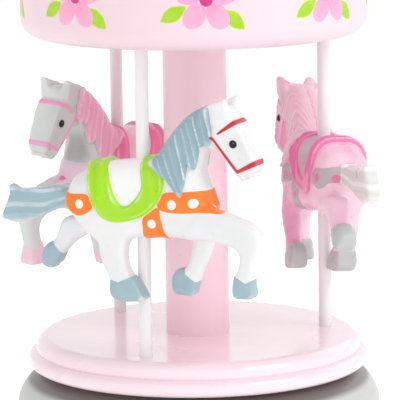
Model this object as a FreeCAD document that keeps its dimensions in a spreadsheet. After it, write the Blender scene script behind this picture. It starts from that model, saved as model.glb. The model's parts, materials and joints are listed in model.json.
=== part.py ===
import FreeCAD, Part
import math
import os
import Sketcher

# Carousel music box. Millimetres, +Z up, origin at the bottom of the base on the carousel's axis.
# -Y is the front. The carousel (everything above the base) turns about Z on the winding arbor;
# an 18-note movement hangs inside the base.

SIZES = {
    # turned base
    "base_radius": 57.7,
    "base_foot_radius": 56.2,
    "base_waist_height": 10.0,
    "base_shell_height": 30.0,
    "base_shoulder_round": 12.0,
    "base_foot_round": 2.5,
    "cavity_radius": 46.0,
    "cavity_height": 24.0,
    "rebate_radius": 53.0,
    "base_hole_radius": 4.5,
    "floor_radius": 52.8,
    "floor_thickness": 3.0,
    "floor_screw_circle": 49.5,
    "felt_radius": 45.0,
    "felt_thickness": 1.0,
    # platform
    "platform_z": 32.0,
    "platform_thickness": 10.0,
    "platform_radius": 54.0,
    "platform_lip_height": 4.6,
    "platform_groove_radius": 51.4,
    "platform_groove_height": 5.2,
    "platform_shoulder_radius": 51.6,
    "platform_shoulder_height": 5.7,
    "platform_lip_round": 2.25,
    "platform_shoulder_round": 3.9,
    "platform_hub_radius": 4.6,
    "socket_floor": 5.0,
    "socket_depth": 5.0,
    # column and poles
    "column_radius": 10.0,
    "column_length": 106.4,
    "column_socket_radius": 10.02,
    "pole_radius": 2.0,
    "pole_length": 105.4,
    "pole_socket_radius": 2.02,
    "pole_circle": 41.0,
    # canopy
    "canopy_z": 137.4,
    "canopy_radius": 54.3,
    "canopy_height": 29.0,
    "canopy_round": 5.9,
    "canopy_floor": 10.0,
    "canopy_cavity_radius": 47.0,
    "canopy_rebate_radius": 50.1,
    "canopy_rebate_height": 26.5,
    "canopy_column_socket": 6.0,
    "roof_z": 163.9,
    "roof_plug_radius": 50.0,
    "roof_plug_height": 2.5,
    "roof_eave_radius": 55.3,
    "roof_eave_height": 6.0,
    "roof_eave_round": 1.7,
    "roof_mid_radius": 28.0,
    "roof_mid_height": 12.0,
    "roof_neck_radius": 9.0,
    "roof_neck_height": 22.5,
    "roof_crown_height": 25.0,
    "roof_slope_round": 14.0,
    "finial_z": 188.4,
    "finial_radius": 7.0,
    "finial_foot_radius": 4.5,
    "finial_foot_height": 2.0,
    "finial_peg_radius": 3.0,
    "finial_peg_length": 12.0,
    "finial_peg_depth": 6.0,
    # drive flange under the platform
    "flange_radius": 15.0,
    "flange_recess_radius": 15.2,
    "flange_thickness": 2.2,
    "flange_boss_radius": 4.5,
    "flange_boss_height": 4.7,
    "flange_screw_circle": 12.3,
    # winding arbor and mainspring
    "arbor_radius": 2.0,
    "arbor_running_radius": 2.04,
    "arbor_z": 6.5,
    "arbor_length": 30.0,
    "arbor_hub_radius": 3.5,
    "arbor_hub_low": 6.6,
    "arbor_hub_high": 14.8,
    "barrel_radius": 15.5,
    "barrel_wall": 0.8,
    "barrel_z": 12.0,
    "barrel_height": 10.5,
    "spring_thickness": 0.3,
    "spring_height": 7.6,
    # bedplate and brackets
    "bedplate_z": 22.5,
    "bedplate_thickness": 2.5,
    "bracket_sheet": 1.0,
    "governor_leg": 17.9,
    # gearing: one module for every wheel
    "module": 0.5,
    "great_teeth": 72,
    "pinion_teeth": 16,
    "drum_wheel_teeth": 32,
    "idler_teeth": 16,
    "worm_wheel_teeth": 16,
    "great_wheel_z": 8.9,
    "great_web": 1.3,
    "train_z": 15.0,
    "wheel_width": 1.4,
    "worm_radius": 1.6,
    # cylinder and comb
    "drum_radius": 6.0,
    "drum_length": 15.0,
    "drum_start": 21.7,
    "pin_radius": 0.22,
    "pin_height": 0.35,
    "shaft_radius": 1.0,
    "shaft_running_radius": 1.05,
    "note_pitch": 0.8,
    "notes": 18,
    "comb_gap": 0.45,
    "comb_length": 15.0,
    "comb_slot_length": 7.0,
    "comb_slot_width": 0.25,
    "comb_thickness": 0.8,
    # governor
    "thin_shaft_radius": 0.6,
    "thin_running_radius": 0.64,
    "fan_radius": 4.0,
    "fan_height": 2.6,
    # screws
    "screw_radius": 1.0,
    "screw_hole_radius": 1.05,
    "screw_head_radius": 2.0,
    "screw_head_height": 1.0,
    "screw_length": 6.0,
    # horses: the pole bore, and how far each one leans forward and rolls sideways, in degrees
    "horse_bore_radius": 2.02,
    "white_lean": 0.0,
    "white_roll": 0.0,
    "grey_lean": 2.0,
    "grey_roll": -2.5,
    "pink_lean": 9.0,
    "pink_roll": 3.5,
}

V = FreeCAD.Vector
UP = V(0, 0, 1)
doc = FreeCAD.newDocument("CarouselMusicBox")
sheet = doc.addObject("Spreadsheet::Sheet", "Sizes")
for row, (alias, number) in enumerate(SIZES.items(), 1):
    sheet.set(f"A{row}", alias)
    sheet.set(f"B{row}", str(number))
    sheet.setAlias(f"B{row}", alias)
doc.recompute()
nodes = []


def size(name):
    """The sheet's number under this alias; a leading minus negates it; numbers pass through."""
    if not isinstance(name, str):
        return float(name)
    if name.startswith("-"):
        return -float(sheet.get(name[1:]))
    return float(sheet.get(name))


def bound(name):
    """The expression that reads this alias from the sheet."""
    return "-Sizes." + name[1:] if name.startswith("-") else "Sizes." + name


def new_body(label):
    body = doc.addObject("PartDesign::Body", label)
    body.Label = label
    nodes.append(body)
    return body


def plane(body, role):
    return [f for f in body.Origin.OriginFeatures if f.Role == role][0]


def new_sketch(body, name, role="XY_Plane", height=None):
    """A sketch on one of the body's own planes, raised along its normal by a height."""
    sketch = body.newObject("Sketcher::SketchObject", name)
    sketch.AttachmentSupport = [(plane(body, role), "")]
    sketch.MapMode = "FlatFace"
    if height is not None:
        sketch.AttachmentOffset = FreeCAD.Placement(V(0, 0, size(height)), FreeCAD.Rotation())
        if isinstance(height, str):
            sketch.setExpression("AttachmentOffset.Base.z", bound(height))
    return sketch


def pin_point(sketch, geo, point, axis, name):
    """Hold one coordinate of a sketch point to the sheet."""
    number = size(name)
    if abs(number) < 1e-9:
        other = -2 if axis == "X" else -1
        sketch.addConstraint(Sketcher.Constraint("PointOnObject", geo, point, other))
        return
    ends = (-1, 1, geo, point) if number > 0 else (geo, point, -1, 1)
    index = sketch.addConstraint(Sketcher.Constraint("Distance" + axis, *ends, abs(number)))
    if isinstance(name, str):
        text = bound(name)
        if number < 0:
            text = text[1:] if text.startswith("-") else "-" + text
        sketch.setExpression(f"Constraints[{index}]", text)


def outline(sketch, points):
    """A closed polygon through points whose coordinates are sheet aliases or numbers."""
    first = sketch.GeometryCount
    count = len(points)
    spots = [V(size(a), size(b), 0) for a, b in points]
    for i in range(count):
        sketch.addGeometry(Part.LineSegment(spots[i], spots[(i + 1) % count]), False)
    for i in range(count):
        after = first + (i + 1) % count
        sketch.addConstraint(Sketcher.Constraint("Coincident", first + i, 2, after, 1))
    for i, (a, b) in enumerate(points):
        pin_point(sketch, first + i, 1, "X", a)
        pin_point(sketch, first + i, 1, "Y", b)


def circles(sketch, spots, radius):
    """Circles of one sheet radius at the given centres."""
    for x, y in spots:
        centre = V(size(x), size(y), 0)
        geo = sketch.addGeometry(Part.Circle(centre, UP, size(radius)), False)
        pin_point(sketch, geo, 3, "X", x)
        pin_point(sketch, geo, 3, "Y", y)
        index = sketch.addConstraint(Sketcher.Constraint("Radius", geo, size(radius)))
        sketch.setExpression(f"Constraints[{index}]", bound(radius))


def turned(label, points):
    """A body of revolution about its own Z."""
    body = new_body(label)
    sketch = new_sketch(body, label + "_profile", "XZ_Plane")
    outline(sketch, points)
    solid = body.newObject("PartDesign::Revolution", label + "_turned")
    solid.Profile = sketch
    solid.ReferenceAxis = (sketch, ["V_Axis"])
    solid.Angle = 360
    body.Tip = solid
    doc.recompute()
    return body


def pad(body, sketch, length, reverse=False):
    solid = body.newObject("PartDesign::Pad", sketch.Label + "_pad")
    solid.Profile = sketch
    solid.Length = size(length)
    if isinstance(length, str):
        solid.setExpression("Length", bound(length))
    solid.Reversed = reverse
    body.Tip = solid
    doc.recompute()
    return solid


def pocket(body, sketch, depth, reverse=False):
    """Cut down from the sketch, or up when reversed; a cut that removes nothing is an error."""
    before = body.Tip.Shape.Volume
    cut = body.newObject("PartDesign::Pocket", sketch.Label + "_cut")
    cut.Profile = sketch
    cut.Length = size(depth)
    if isinstance(depth, str):
        cut.setExpression("Length", bound(depth))
    cut.Reversed = reverse
    body.Tip = cut
    doc.recompute()
    if cut.Shape.Volume > before - 1e-3:
        raise ValueError(sketch.Label + " cut nothing")
    return cut


def drill(body, name, spots, radius, height, depth, reverse=False):
    sketch = new_sketch(body, name, "XY_Plane", height)
    circles(sketch, spots, radius)
    return pocket(body, sketch, depth, reverse)


def rod(label, radius, length):
    body = new_body(label)
    sketch = new_sketch(body, label + "_section")
    circles(sketch, [(0, 0)], radius)
    pad(body, sketch, length)
    return body


def round_edges(body, name, radius, spots):
    """Round the circular edges found at the given (radius, height) pairs."""
    base = body.Tip
    wanted = [(size(r), size(z)) for r, z in spots]
    found = []
    for number, edge in enumerate(base.Shape.Edges, 1):
        if edge.Curve.TypeId != "Part::GeomCircle":
            continue
        here = (edge.Curve.Radius, edge.Curve.Center.z)
        if any(math.dist(here, spot) < 0.01 for spot in wanted):
            found.append(f"Edge{number}")
    if len(found) < len(wanted):
        raise ValueError("missing edges on " + body.Label)
    fillet = body.newObject("PartDesign::Fillet", body.Label + "_" + name)
    fillet.Base = (base, found)
    fillet.Radius = size(radius)
    fillet.setExpression("Radius", bound(radius))
    body.Tip = fillet
    doc.recompute()


def place(thing, x=0, y=0, z=0, turn=None):
    """Set a node where it belongs; named coordinates stay tied to the sheet."""
    rotation = turn if turn is not None else FreeCAD.Rotation()
    thing.Placement = FreeCAD.Placement(V(size(x), size(y), size(z)), rotation)
    for axis, name in zip("xyz", (x, y, z)):
        if isinstance(name, str):
            thing.setExpression("Placement.Base." + axis, bound(name))
    return thing


def ring_of(count, radius, start=0.0):
    """Evenly spaced points on a circle."""
    step = 360.0 / count
    angles = [math.radians(start + i * step) for i in range(count)]
    return [(radius * math.cos(a), radius * math.sin(a)) for a in angles]


def free_shape(label, shape):
    """A node whose form only fits a computed solid."""
    thing = doc.addObject("Part::Feature", label)
    thing.Label = label
    thing.Shape = shape
    nodes.append(thing)
    return thing


# ---------------------------------------------------------------- base

shell = turned("base_shell", [
    ("rebate_radius", 0),
    ("base_foot_radius", 0),
    ("base_radius", "base_waist_height"),
    ("base_radius", "base_shell_height"),
    ("base_hole_radius", "base_shell_height"),
    ("base_hole_radius", "cavity_height"),
    ("cavity_radius", "cavity_height"),
    ("cavity_radius", "floor_thickness"),
    ("rebate_radius", "floor_thickness"),
])
round_edges(shell, "shoulder", "base_shoulder_round", [("base_radius", "base_shell_height")])
round_edges(shell, "foot", "base_foot_round", [("base_foot_radius", 0)])
FLOOR_SCREWS = ring_of(3, size("floor_screw_circle"), 30)
BED_SCREWS = [(-15.0, -17.5), (-15.0, 17.5), (37.8, -15.0)]
drill(shell, "floor_screw_holes", FLOOR_SCREWS, "screw_hole_radius", "floor_thickness", 6.5, True)
drill(shell, "bed_screw_holes", BED_SCREWS, "screw_hole_radius", "cavity_height", 4.2, True)
place(shell, z="felt_thickness")

floor_plate = new_body("base_plate")
floor_sketch = new_sketch(floor_plate, "floor_disc")
circles(floor_sketch, [(0, 0)], "floor_radius")
pad(floor_plate, floor_sketch, "floor_thickness")
drill(floor_plate, "floor_holes", FLOOR_SCREWS, "screw_hole_radius", 0, "floor_thickness", True)
drill(floor_plate, "floor_head_seats", FLOOR_SCREWS, "screw_head_radius", 0, "screw_head_height", True)
place(floor_plate, z="felt_thickness")

place(rod("felt_pad", "felt_radius", "felt_thickness"))


def screw(label, x, y, z, length, turn=None):
    """A flat-headed screw, head at its origin and shank along +Z."""
    body = new_body(label)
    head = new_sketch(body, label + "_head")
    circles(head, [(0, 0)], "screw_head_radius")
    pad(body, head, "screw_head_height")
    shank = new_sketch(body, label + "_shank")
    circles(shank, [(0, 0)], "screw_radius")
    pad(body, shank, length)
    slot = new_sketch(body, label + "_slot")
    outline(slot, [(-2.2, -0.25), (2.2, -0.25), (2.2, 0.25), (-2.2, 0.25)])
    pocket(body, slot, 0.5, True)
    return place(body, x, y, z, turn)


for index, (x, y) in enumerate(FLOOR_SCREWS, 1):
    screw(f"base_screw_{index}", x, y, "felt_thickness", 8.5)

# ---------------------------------------------------------------- platform and column

platform = turned("platform", [
    ("platform_hub_radius", "flange_thickness"),
    ("flange_recess_radius", "flange_thickness"),
    ("flange_recess_radius", 0),
    ("platform_radius", 0),
    ("platform_radius", "platform_lip_height"),
    ("platform_groove_radius", "platform_groove_height"),
    ("platform_shoulder_radius", "platform_shoulder_height"),
    ("platform_shoulder_radius", "platform_thickness"),
    ("column_socket_radius", "platform_thickness"),
    ("column_socket_radius", "socket_floor"),
    ("platform_hub_radius", "socket_floor"),
])
round_edges(platform, "lip", "platform_lip_round",
            [("platform_radius", 0), ("platform_radius", "platform_lip_height")])
round_edges(platform, "shoulder", "platform_shoulder_round",
            [("platform_shoulder_radius", "platform_thickness")])

POLE_ANGLES = {"white": -113.0, "grey": 128.5, "pink": 6.6}
pole_spots = [
    (size("pole_circle") * math.cos(math.radians(a)), size("pole_circle") * math.sin(math.radians(a)))
    for a in POLE_ANGLES.values()
]
drill(platform, "pole_sockets", pole_spots, "pole_socket_radius", "platform_thickness", "socket_depth")
FLANGE_SCREWS = ring_of(3, size("flange_screw_circle"), 66)
drill(platform, "flange_screw_holes", FLANGE_SCREWS, "screw_hole_radius", "flange_thickness", 4.0, True)
place(platform, z="platform_z")

column = rod("column", "column_radius", "column_length")
place(column, z=size("platform_z") + size("socket_floor"))

for (colour, angle), (x, y) in zip(POLE_ANGLES.items(), pole_spots):
    pole = rod("pole_" + colour, "pole_radius", "pole_length")
    place(pole, x, y, size("platform_z") + size("platform_thickness") - size("socket_depth"))

# ---------------------------------------------------------------- canopy

drum = turned("canopy_drum", [
    ("column_socket_radius", 0),
    ("canopy_radius", 0),
    ("canopy_radius", "canopy_height"),
    ("canopy_rebate_radius", "canopy_height"),
    ("canopy_rebate_radius", "canopy_rebate_height"),
    ("canopy_cavity_radius", "canopy_rebate_height"),
    ("canopy_cavity_radius", "canopy_floor"),
    (0, "canopy_floor"),
    (0, "canopy_column_socket"),
    ("column_socket_radius", "canopy_column_socket"),
])
round_edges(drum, "lower", "canopy_round", [("canopy_radius", 0)])
drill(drum, "drum_pole_sockets", pole_spots, "pole_socket_radius", 0, 5.0, True)
place(drum, z="canopy_z")

roof = turned("roof", [
    (0, 0),
    ("roof_plug_radius", 0),
    ("roof_plug_radius", "roof_plug_height"),
    ("roof_eave_radius", "roof_plug_height"),
    ("roof_eave_radius", "roof_eave_height"),
    ("roof_mid_radius", "roof_mid_height"),
    ("roof_neck_radius", "roof_neck_height"),
    ("roof_neck_radius", "roof_crown_height"),
    ("finial_peg_radius", "roof_crown_height"),
    ("finial_peg_radius", size("roof_crown_height") - size("finial_peg_depth")),
    (0, size("roof_crown_height") - size("finial_peg_depth")),
])
round_edges(roof, "eave", "roof_eave_round",
            [("roof_eave_radius", "roof_plug_height"), ("roof_eave_radius", "roof_eave_height")])
round_edges(roof, "slope", "roof_slope_round", [("roof_mid_radius", "roof_mid_height")])
place(roof, z="roof_z")

peg = rod("finial_peg", "finial_peg_radius", "finial_peg_length")
place(peg, z=size("finial_z") + 0.5 - size("finial_peg_depth"))

ball_centre = size("finial_foot_height") + math.sqrt(
    size("finial_radius") ** 2 - size("finial_foot_radius") ** 2)
finial = new_body("finial_ball")
finial_sketch = new_sketch(finial, "finial_profile", "XZ_Plane")
peg_r = size("finial_peg_radius")
peg_top = size("finial_peg_length") - size("finial_peg_depth") + 0.1
foot_r, foot_h = size("finial_foot_radius"), size("finial_foot_height")
ball_top = ball_centre + size("finial_radius")
corners = [V(peg_r, 0, 0), V(foot_r, 0, 0), V(foot_r, foot_h, 0), V(0, ball_top, 0), V(0, peg_top, 0),
           V(peg_r, peg_top, 0)]
ball_side = V(size("finial_radius"), ball_centre, 0)
finial_sketch.addGeometry([
    Part.LineSegment(corners[0], corners[1]),
    Part.LineSegment(corners[1], corners[2]),
    Part.Arc(corners[2], ball_side, corners[3]),
    Part.LineSegment(corners[3], corners[4]),
    Part.LineSegment(corners[4], corners[5]),
    Part.LineSegment(corners[5], corners[0]),
], False)
for a in (0, 3, 4):
    finial_sketch.addConstraint(Sketcher.Constraint("Coincident", a, 2, a + 1, 1))
finial_sketch.addConstraint(Sketcher.Constraint("Coincident", 5, 2, 0, 1))
finial_sketch.addConstraint(Sketcher.Constraint("PointOnObject", 2, 3, -2))
ball_radius = finial_sketch.addConstraint(Sketcher.Constraint("Radius", 2, size("finial_radius")))
finial_sketch.setExpression(f"Constraints[{ball_radius}]", "Sizes.finial_radius")
finial_turned = finial.newObject("PartDesign::Revolution", "finial_turned")
finial_turned.Profile = finial_sketch
finial_turned.ReferenceAxis = (finial_sketch, ["V_Axis"])
finial_turned.Angle = 360
finial.Tip = finial_turned
doc.recompute()
place(finial, z=size("finial_z") + 0.5)

# ---------------------------------------------------------------- drive: flange, arbor, mainspring

flange = turned("drive_flange", [
    ("arbor_radius", 0),
    ("flange_radius", 0),
    ("flange_radius", "flange_thickness"),
    ("flange_boss_radius", "flange_thickness"),
    ("flange_boss_radius", "flange_boss_height"),
    ("arbor_radius", "flange_boss_height"),
])
drill(flange, "flange_holes", FLANGE_SCREWS, "screw_hole_radius", 0, "flange_thickness", True)
drill(flange, "flange_head_seats", FLANGE_SCREWS, "screw_head_radius", 0, "screw_head_height", True)
place(flange, z="platform_z")
for index, (x, y) in enumerate(FLANGE_SCREWS, 1):
    screw(f"flange_screw_{index}", x, y, "platform_z", "screw_length")

arbor = turned("winding_arbor", [
    (0, 0),
    ("arbor_radius", 0),
    ("arbor_radius", "arbor_hub_low"),
    ("arbor_hub_radius", "arbor_hub_low"),
    ("arbor_hub_radius", "arbor_hub_high"),
    ("arbor_radius", "arbor_hub_high"),
    ("arbor_radius", "arbor_length"),
    (0, "arbor_length"),
])
place(arbor, z="arbor_z")

barrel_inner = size("barrel_radius") - size("barrel_wall")
barrel = turned("spring_barrel", [
    ("arbor_running_radius", 0),
    ("barrel_radius", 0),
    ("barrel_radius", "barrel_height"),
    (barrel_inner, "barrel_height"),
    (barrel_inner, "barrel_wall"),
    ("arbor_running_radius", "barrel_wall"),
])
place(barrel, z="barrel_z")


def spiral(offset, inner, outer, turns, steps=72):
    """One side of the coiled ribbon, as a smooth curve."""
    points = []
    for i in range(steps + 1):
        angle = turns * 2 * math.pi * i / steps
        radius = inner + (outer - inner) * i / steps + offset
        points.append(V(radius * math.cos(angle), radius * math.sin(angle), 0))
    curve = Part.BSplineCurve()
    curve.interpolate(points)
    return curve.toShape()


ribbon = size("spring_thickness")
spring_inner = size("arbor_hub_radius") + 0.3
spring_outer = barrel_inner - ribbon - 0.2
inside = spiral(0.0, spring_inner, spring_outer, 6)
outside = spiral(ribbon, spring_inner, spring_outer, 6)
start_cap = Part.makeLine(inside.Vertexes[0].Point, outside.Vertexes[0].Point)
end_cap = Part.makeLine(inside.Vertexes[-1].Point, outside.Vertexes[-1].Point)
coil = Part.Face(Part.Wire(Part.__sortEdges__([inside, end_cap, outside, start_cap])))
spring = free_shape("mainspring", coil.extrude(V(0, 0, size("spring_height"))))
place(spring, z=size("barrel_z") + size("barrel_wall") + 0.5)

# ---------------------------------------------------------------- movement plates and brackets

bed = new_body("bedplate")
bed_sketch = new_sketch(bed, "bed_outline")
outline(bed_sketch, [
    (-19.5, -22), (37, -23), (40.5, -19), (40.5, -9.3), (38.3, -9.3), (38.3, 9.3), (40.5, 9.3),
    (40.5, 20), (36.5, 24), (20, 24), (14, 21), (-19.5, 21),
])
pad(bed, bed_sketch, "bedplate_thickness")
WORM_X = size("drum_start") + 10.2
IDLER_Y = size("module") * (size("drum_wheel_teeth") + size("idler_teeth")) / 2
WORM_Y = IDLER_Y + size("module") * size("worm_wheel_teeth") / 2 + size("worm_radius")
drill(bed, "arbor_hole", [(0, 0)], "arbor_running_radius", 0, "bedplate_thickness", True)
drill(bed, "bed_holes", BED_SCREWS, "screw_hole_radius", 0, "bedplate_thickness", True)
drill(bed, "governor_pivot", [(WORM_X, WORM_Y)], "thin_running_radius", 0, 1.5, True)
place(bed, z="bedplate_z")
for index, (x, y) in enumerate(BED_SCREWS, 1):
    screw(f"bedplate_screw_{index}", x, y, size("bedplate_z") - size("screw_head_height"), "screw_length")


def stirrup(label, low_x, high_x, half_width, drop, bore, y):
    """A U-shaped sheet bracket hanging from the bedplate, with a shaft bore in both cheeks."""
    sheet_t = size("bracket_sheet")
    body = new_body(label)
    sketch = new_sketch(body, label + "_section", "XZ_Plane", -half_width)
    outline(sketch, [
        (low_x, 0), (high_x, 0), (high_x, -drop), (high_x - sheet_t, -drop),
        (high_x - sheet_t, -sheet_t), (low_x + sheet_t, -sheet_t), (low_x + sheet_t, -drop), (low_x, -drop),
    ])
    pad(body, sketch, 2 * half_width)
    bores = new_sketch(body, label + "_bores", "YZ_Plane", high_x + 1)
    circles(bores, [(0, size("train_z") - size("bedplate_z"))], bore)
    pocket(body, bores, high_x - low_x + 2)
    return place(body, 0, y, "bedplate_z")


drum_end = size("drum_start") + size("drum_length")
stirrup("cylinder_bracket", size("drum_start") - 1.5, drum_end + 1.5, 3.0, 10.5,
        "shaft_running_radius", 0)
stirrup("idler_bracket", WORM_X - 5.5, WORM_X + 4.5, 2.0, 9.5, "thin_running_radius", IDLER_Y)

hook = new_body("governor_bracket")
hook_sketch = new_sketch(hook, "hook_section", "YZ_Plane", -3.0)
outline(hook_sketch, [
    (3.6, 0), (5.6, 0), (5.6, "-governor_leg"), (-1.5, "-governor_leg"),
    (-1.5, 1.0 - size("governor_leg")), (4.6, 1.0 - size("governor_leg")), (4.6, -1.0), (3.6, -1.0),
])
pad(hook, hook_sketch, 6.0)
drill(hook, "hook_pivot", [(0, 0)], "thin_running_radius", "-governor_leg", 1.0, True)
place(hook, WORM_X, WORM_Y, "bedplate_z")

# ---------------------------------------------------------------- gearing

MODULE = size("module")


def tooth_sketch(body, name, pitch_radius, height):
    """One tooth along +X: narrow at the tip so that meshing teeth never touch flank to flank."""
    sketch = new_sketch(body, name, "XY_Plane", height)
    root = pitch_radius - MODULE * 1.15
    tip = pitch_radius + MODULE * 0.85
    outline(sketch, [
        (root - 0.3, -MODULE * 0.72), (root + 0.1, -MODULE * 0.72), (pitch_radius, -MODULE * 0.62),
        (tip, -MODULE * 0.3), (tip, MODULE * 0.3), (pitch_radius, MODULE * 0.62),
        (root + 0.1, MODULE * 0.72), (root - 0.3, MODULE * 0.72),
    ])
    return sketch


def wheel(label, teeth, width, bore):
    """A spur wheel about its own Z, first tooth on +X."""
    count = int(size(teeth))
    pitch_radius = MODULE * count / 2
    body = new_body(label)
    disc = new_sketch(body, label + "_disc")
    rim = disc.addGeometry(Part.Circle(V(0, 0, 0), UP, pitch_radius - MODULE * 1.15), False)
    disc.addConstraint(Sketcher.Constraint("Coincident", rim, 3, -1, 1))
    at = disc.addConstraint(Sketcher.Constraint("Radius", rim, pitch_radius - MODULE * 1.15))
    disc.setExpression(f"Constraints[{at}]", f"Sizes.module * (Sizes.{teeth} / 2 - 1.15)")
    circles(disc, [(0, 0)], bore)
    pad(body, disc, width)
    tooth = tooth_sketch(body, label + "_tooth", pitch_radius, None)
    one = pad(body, tooth, width)
    around = body.newObject("PartDesign::PolarPattern", label + "_teeth")
    around.Originals = [one]
    around.Axis = (tooth, ["N_Axis"])
    around.Angle = 360
    around.Occurrences = count
    around.setExpression("Occurrences", f"Sizes.{teeth}")
    body.Tip = around
    doc.recompute()
    return body


ALONG_X = FreeCAD.Rotation(V(0, 1, 0), 90)


def along_x(degrees=0.0):
    """Lay a wheel's axis on +X and turn it about that axis."""
    return FreeCAD.Rotation(V(1, 0, 0), degrees).multiply(ALONG_X)


great_radius = MODULE * size("great_teeth") / 2
great = new_body("great_wheel")
great_disc = new_sketch(great, "great_disc")
rim = great_disc.addGeometry(Part.Circle(V(0, 0, 0), UP, great_radius + 1.3), False)
great_disc.addConstraint(Sketcher.Constraint("Coincident", rim, 3, -1, 1))
at = great_disc.addConstraint(Sketcher.Constraint("Radius", rim, great_radius + 1.3))
great_disc.setExpression(f"Constraints[{at}]", "Sizes.module * Sizes.great_teeth / 2 + 1.3")
circles(great_disc, [(0, 0)], "arbor_radius")
pad(great, great_disc, "great_web")
tooth_root = size("great_web") - 0.2
tooth_tip = size("train_z") - MODULE * size("pinion_teeth") / 2 + MODULE * 0.85 - size("great_wheel_z")
crown_tooth = new_sketch(great, "crown_tooth", "YZ_Plane", great_radius - 1.3)
outline(crown_tooth, [
    (-MODULE * 0.62, tooth_root), (MODULE * 0.62, tooth_root), (MODULE * 0.5, tooth_tip - MODULE * 0.85),
    (MODULE * 0.22, tooth_tip), (-MODULE * 0.22, tooth_tip), (-MODULE * 0.5, tooth_tip - MODULE * 0.85),
])
crown_one = pad(great, crown_tooth, 2.55)
crown = great.newObject("PartDesign::PolarPattern", "crown_teeth")
crown.Originals = [crown_one]
crown.Axis = (great_disc, ["N_Axis"])
crown.Angle = 360
crown.Occurrences = int(size("great_teeth"))
crown.setExpression("Occurrences", "Sizes.great_teeth")
great.Tip = crown
doc.recompute()
place(great, z="great_wheel_z", turn=FreeCAD.Rotation(UP, 180.0 / size("great_teeth")))

DRUM_X = size("drum_start")
pinion = wheel("cylinder_pinion", "pinion_teeth", 2.4, "shaft_radius")
place(pinion, great_radius - 1.2, 0, "train_z", along_x())
drum_wheel = wheel("cylinder_wheel", "drum_wheel_teeth", "wheel_width", "shaft_radius")
place(drum_wheel, drum_end + 2.1, 0, "train_z", along_x())
idler_pinion = wheel("idler_pinion", "idler_teeth", "wheel_width", "thin_shaft_radius")
place(idler_pinion, drum_end + 2.1, IDLER_Y, "train_z", along_x(180.0 / size("idler_teeth")))
worm_wheel = wheel("worm_wheel", "worm_wheel_teeth", "wheel_width", "thin_shaft_radius")
place(worm_wheel, WORM_X - size("wheel_width") / 2, IDLER_Y, "train_z",
      along_x(180.0 / size("worm_wheel_teeth")))

cylinder_shaft = rod("cylinder_shaft", "shaft_radius", drum_end + 4.2 - (great_radius - 1.4))
place(cylinder_shaft, great_radius - 1.4, 0, "train_z", along_x())
idler_shaft = rod("idler_shaft", "thin_shaft_radius", drum_end + 4.2 - (WORM_X - 6.5))
place(idler_shaft, WORM_X - 6.5, IDLER_Y, "train_z", along_x())

# ---------------------------------------------------------------- pinned cylinder and comb

drum_solid = Part.makeCylinder(size("drum_radius"), size("drum_length"))
pins = []
NOTES = int(size("notes"))
first_note = (size("drum_length") - (NOTES - 1) * size("note_pitch")) / 2
for note in range(NOTES):
    for beat in range(3):
        turn = 137.5 * (3 * note + beat)
        pin = Part.makeCylinder(size("pin_radius"), size("drum_radius") + size("pin_height") - 4.0,
                                V(4.0, 0, first_note + note * size("note_pitch")), V(1, 0, 0))
        pin.rotate(V(0, 0, 0), UP, turn)
        pins.append(pin)
drum_solid = drum_solid.fuse(pins)
drum_solid = drum_solid.cut(Part.makeCylinder(size("shaft_radius"), size("drum_length")))
pinned = free_shape("pinned_cylinder", drum_solid.removeSplitter())
place(pinned, "drum_start", 0, "train_z", along_x())

COMB_FRONT = size("drum_radius") + size("comb_gap")
COMB_X = DRUM_X + size("drum_length") / 2
comb_half = NOTES * size("note_pitch") / 2
comb = new_body("comb")
comb_sketch = new_sketch(comb, "comb_plate")
outline(comb_sketch, [
    (-comb_half, 0), (-comb_half, "-comb_length"), (comb_half, "-comb_length"), (comb_half, 0),
])
pad(comb, comb_sketch, "comb_thickness")
slot_sketch = new_sketch(comb, "comb_slot", "XY_Plane", "comb_thickness")
slot_low = size("note_pitch") - comb_half - size("comb_slot_width") / 2
outline(slot_sketch, [
    (slot_low, 0.5), (slot_low, "-comb_slot_length"),
    (slot_low + size("comb_slot_width"), "-comb_slot_length"), (slot_low + size("comb_slot_width"), 0.5),
])
one_slot = pocket(comb, slot_sketch, "comb_thickness")
slots = comb.newObject("PartDesign::LinearPattern", "comb_slots")
slots.Originals = [one_slot]
slots.Direction = (slot_sketch, ["H_Axis"])
slots.Length = (NOTES - 2) * size("note_pitch")
slots.setExpression("Length", "(Sizes.notes - 2) * Sizes.note_pitch")
slots.Occurrences = NOTES - 1
comb.Tip = slots
doc.recompute()
COMB_SCREWS = [(-3.6, -11.2), (3.6, -11.2)]
drill(comb, "comb_holes", COMB_SCREWS, "screw_hole_radius", "comb_thickness", "comb_thickness")
comb_z = size("train_z") - size("comb_thickness") / 2
place(comb, COMB_X, -COMB_FRONT, comb_z)

block_height = size("bedplate_z") - comb_z - size("comb_thickness")
block = new_body("comb_block")
block_sketch = new_sketch(block, "block_outline")
outline(block_sketch, [(-5.8, -7.6), (-5.8, "-comb_length"), (5.8, "-comb_length"), (5.8, -7.6)])
pad(block, block_sketch, block_height)
drill(block, "block_holes", COMB_SCREWS, "screw_hole_radius", 0, 5.5, True)
place(block, COMB_X, -COMB_FRONT, comb_z + size("comb_thickness"))
comb_head_z = comb_z - size("screw_head_height")
for index, (x, y) in enumerate(COMB_SCREWS, 1):
    screw(f"comb_screw_{index}", COMB_X + x, y - COMB_FRONT, comb_head_z, "screw_length")

# ---------------------------------------------------------------- governor: worm and fan

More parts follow.
